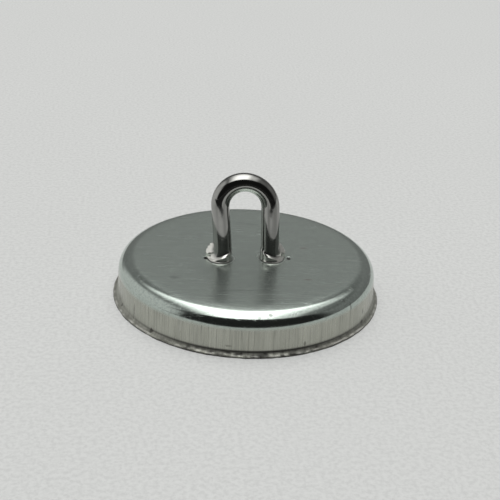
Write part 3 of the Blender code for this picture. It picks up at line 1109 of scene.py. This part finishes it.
class MagnetSizes(bpy.types.PropertyGroup):
    """Sizes of the wire loop and its feet."""

    wire_radius: bpy.props.FloatProperty(
        name="Wire Radius", description="Half the thickness of the wire", default=1.73 * MM,
        min=0.5 * MM, unit="LENGTH", precision=5,
    )
    loop_lean: bpy.props.FloatProperty(
        name="Loop Lean", description="How far the loop leans to -X", default=math.radians(3.3),
        subtype="ANGLE",
    )
    loop_tilt: bpy.props.FloatProperty(
        name="Loop Tilt", description="How far the loop leans to +Y", default=math.radians(4.5),
        subtype="ANGLE",
    )
    foot_outer: bpy.props.FloatProperty(
        name="Foot Outer", description="Reach of a foot away from the other", default=2.8 * MM,
        unit="LENGTH", precision=5,
    )
    foot_front: bpy.props.FloatProperty(
        name="Foot Front", description="Reach of a foot to the front and back", default=2.6 * MM,
        unit="LENGTH", precision=5,
    )
    foot_inner: bpy.props.FloatProperty(
        name="Foot Inner", description="Reach of a foot towards the other", default=1.9 * MM,
        unit="LENGTH", precision=5,
    )
    ear_reach: bpy.props.FloatProperty(
        name="Ear Reach", description="Reach of a foot's pinched ear", default=3.3 * MM, unit="LENGTH",
        precision=5,
    )
    ear_rise: bpy.props.FloatProperty(
        name="Ear Rise", description="Height of the ear where it leaves the wire", default=1.95 * MM,
        unit="LENGTH", precision=5,
    )


class MagnetFinish(bpy.types.PropertyGroup):
    """Colours and roughness of the pieces."""

    plating: bpy.props.FloatVectorProperty(
        name="Plating", description="Tint of the plated roof", default=(0.485, 0.545, 0.505),
        subtype="COLOR",
    )
    wall: bpy.props.FloatVectorProperty(
        name="Wall", description="Tint of the drawn wall", default=(0.475, 0.482, 0.425),
        subtype="COLOR",
    )
    wire: bpy.props.FloatVectorProperty(
        name="Wire", description="Tint of the bright wire", default=(0.30, 0.30, 0.288),
        subtype="COLOR",
    )
    foot: bpy.props.FloatVectorProperty(
        name="Foot", description="Tint of the burnished feet", default=(0.82, 0.82, 0.77),
        subtype="COLOR",
    )
    ferrite: bpy.props.FloatVectorProperty(
        name="Ferrite", description="Colour of the ring magnet", default=(0.045, 0.045, 0.05),
        subtype="COLOR",
    )
    adhesive: bpy.props.FloatVectorProperty(
        name="Adhesive", description="Colour of the adhesive", default=(0.42, 0.33, 0.17),
        subtype="COLOR",
    )
    resin: bpy.props.FloatVectorProperty(
        name="Resin", description="Colour of the potting resin", default=(0.03, 0.03, 0.033),
        subtype="COLOR",
    )
    roof_roughness: bpy.props.FloatProperty(
        name="Roof Roughness", description="Roughness of the rolled roof", default=0.24, min=0.0,
        max=1.0,
    )
    shoulder_roughness: bpy.props.FloatProperty(
        name="Shoulder Roughness", description="Roughness of the burnished shoulder", default=0.13,
        min=0.0, max=1.0,
    )
    wall_roughness: bpy.props.FloatProperty(
        name="Wall Roughness", description="Roughness of the drawn wall", default=0.30, min=0.0,
        max=1.0,
    )
    wire_roughness: bpy.props.FloatProperty(
        name="Wire Roughness", description="Roughness of the wire", default=0.08, min=0.0, max=1.0
    )


class MagnetStage(bpy.types.PropertyGroup):
    """Floor, light and camera."""

    floor: bpy.props.FloatVectorProperty(
        name="Floor", description="Colour of the floor", default=(0.355, 0.359, 0.354),
        subtype="COLOR",
    )
    floor_glow: bpy.props.FloatProperty(
        name="Floor Glow",
        description="How strongly the floor shines by itself, which softens shadows on it",
        default=0.9, min=0.0,
    )
    floor_radius: bpy.props.FloatProperty(
        name="Floor Radius", description="How far the floor reaches", default=4.0, unit="LENGTH"
    )
    backdrop: bpy.props.FloatVectorProperty(
        name="Backdrop", description="Colour behind the floor", default=(0.655, 0.665, 0.65),
        subtype="COLOR",
    )
    panel_level: bpy.props.FloatProperty(
        name="Panel Level", description="Brightness of the soft panel overhead", default=3.2, min=0.0
    )
    shade_level: bpy.props.FloatProperty(
        name="Shade Level", description="Brightness of the dark side behind the viewer", default=0.022,
        min=0.0,
    )
    dim_level: bpy.props.FloatProperty(
        name="Dim Level", description="Brightness beside the dark side", default=0.14, min=0.0
    )
    left_level: bpy.props.FloatProperty(
        name="Left Level", description="Brightness of the left side", default=0.7, min=0.0
    )
    shade_start: bpy.props.FloatProperty(
        name="Shade Start",
        description="Distance in front of the magnet where the floor it mirrors turns dark",
        default=75 * MM, unit="LENGTH",
    )
    heading: bpy.props.FloatProperty(
        name="Light Heading", description="Turn of the dome about Z", default=math.radians(-6.2),
        subtype="ANGLE",
    )
    lens: bpy.props.FloatProperty(
        name="Lens", description="Focal length in millimetres", default=75.17, min=1.0
    )
    camera_place: bpy.props.FloatVectorProperty(
        name="Camera Place", description="Where the camera stands", subtype="TRANSLATION",
        default=(-19.37 * MM, -181.76 * MM, 95.43 * MM),
    )
    camera_heading: bpy.props.FloatProperty(
        name="Camera Heading", description="Turn of the camera about Z", default=math.radians(-6.249),
        subtype="ANGLE",
    )
    camera_dip: bpy.props.FloatProperty(
        name="Camera Dip", description="How far the camera looks down", default=math.radians(25.333),
        subtype="ANGLE",
    )
    camera_roll: bpy.props.FloatProperty(
        name="Camera Roll", description="Roll of the camera", default=math.radians(2.645),
        subtype="ANGLE",
    )


# Operators


class MAGNET_OT_effects(bpy.types.Operator):
    """Builds the surface effects that the finishes share"""

    bl_idname = "magnet.effects"
    bl_label = "Shared Effects"

    def execute(self, context):
        rolled_grain_group()
        drawn_streaks_group()
        scratches_group()
        smudges_group()
        specks_group()
        mark_group()
        return {"FINISHED"}


class MAGNET_OT_cup(bpy.types.Operator):
    """Builds the drawn and plated steel cup"""

    bl_idname = "magnet.cup"
    bl_label = "Steel Cup"

    def execute(self, context):
        material = plated_sheet(context.scene.magnet_finish)
        stand_for(build_cup(context.scene.magnet_sizes), "steel_cup", material)
        return {"FINISHED"}


class MAGNET_OT_loop(bpy.types.Operator):
    """Builds the bent wire loop with its upset feet and peened heads"""

    bl_idname = "magnet.loop"
    bl_label = "Wire Loop"

    def execute(self, context):
        material = bright_wire(context.scene.magnet_finish)
        stand_for(build_loop(context.scene.magnet_sizes), "wire_loop", material)
        return {"FINISHED"}


class MAGNET_OT_ring(bpy.types.Operator):
    """Builds the ferrite ring magnet"""

    bl_idname = "magnet.ring"
    bl_label = "Ferrite Ring"

    def execute(self, context):
        material = sintered_ferrite(context.scene.magnet_finish)
        stand_for(build_ring_magnet(), "ferrite_ring", material)
        return {"FINISHED"}


class MAGNET_OT_adhesive(bpy.types.Operator):
    """Builds the adhesive between the roof and the magnet"""

    bl_idname = "magnet.adhesive"
    bl_label = "Adhesive Bed"

    def execute(self, context):
        material = cured_adhesive(context.scene.magnet_finish)
        stand_for(build_adhesive(), "adhesive_bed", material)
        return {"FINISHED"}


class MAGNET_OT_filler(bpy.types.Operator):
    """Builds the potting resin round the magnet"""

    bl_idname = "magnet.filler"
    bl_label = "Edge Filler"

    def execute(self, context):
        material = potting_resin(context.scene.magnet_finish)
        stand_for(build_filler(), "edge_filler", material)
        return {"FINISHED"}


class MAGNET_OT_stage(bpy.types.Operator):
    """Lays the floor, lights the dome and places the camera"""

    bl_idname = "magnet.stage"
    bl_label = "Stage"

    def execute(self, context):
        context.scene.view_settings.view_transform = "Standard"
        build_floor(context.scene.magnet_stage)
        build_dome(context.scene.magnet_stage)
        place_camera(context.scene.magnet_stage)
        return {"FINISHED"}


class MAGNET_PT_panel(bpy.types.Panel):
    """Lists the steps that build the magnet"""

    bl_label = "Cup Magnet"
    bl_idname = "MAGNET_PT_panel"
    bl_space_type = "VIEW_3D"
    bl_region_type = "UI"
    bl_category = "Cup Magnet"

    def draw(self, context):
        for step in STEPS:
            self.layout.operator(step.bl_idname)
        scene = context.scene
        for settings in (scene.magnet_sizes, scene.magnet_finish, scene.magnet_stage):
            box = self.layout.box()
            for name in settings.__annotations__:
                box.prop(settings, name)


STEPS = (
    MAGNET_OT_effects, MAGNET_OT_cup, MAGNET_OT_loop, MAGNET_OT_ring, MAGNET_OT_adhesive, MAGNET_OT_filler,
    MAGNET_OT_stage,
)
CLASSES = (MagnetSizes, MagnetFinish, MagnetStage, *STEPS, MAGNET_PT_panel)


def register():
    """Registers the classes and adds the settings to the scene."""
    for item in CLASSES:
        bpy.utils.register_class(item)
    bpy.types.Scene.magnet_sizes = bpy.props.PointerProperty(type=MagnetSizes)
    bpy.types.Scene.magnet_finish = bpy.props.PointerProperty(type=MagnetFinish)
    bpy.types.Scene.magnet_stage = bpy.props.PointerProperty(type=MagnetStage)


def unregister():
    """Removes the settings and the classes."""
    del bpy.types.Scene.magnet_stage
    del bpy.types.Scene.magnet_finish
    del bpy.types.Scene.magnet_sizes
    for item in reversed(CLASSES):
        bpy.utils.unregister_class(item)


def main():
    """Builds every piece in order."""
    register()
    bpy.ops.magnet.effects()
    bpy.ops.magnet.cup()
    bpy.ops.magnet.loop()
    bpy.ops.magnet.ring()
    bpy.ops.magnet.adhesive()
    bpy.ops.magnet.filler()
    bpy.ops.magnet.stage()


if __name__ == "__main__":
    main()
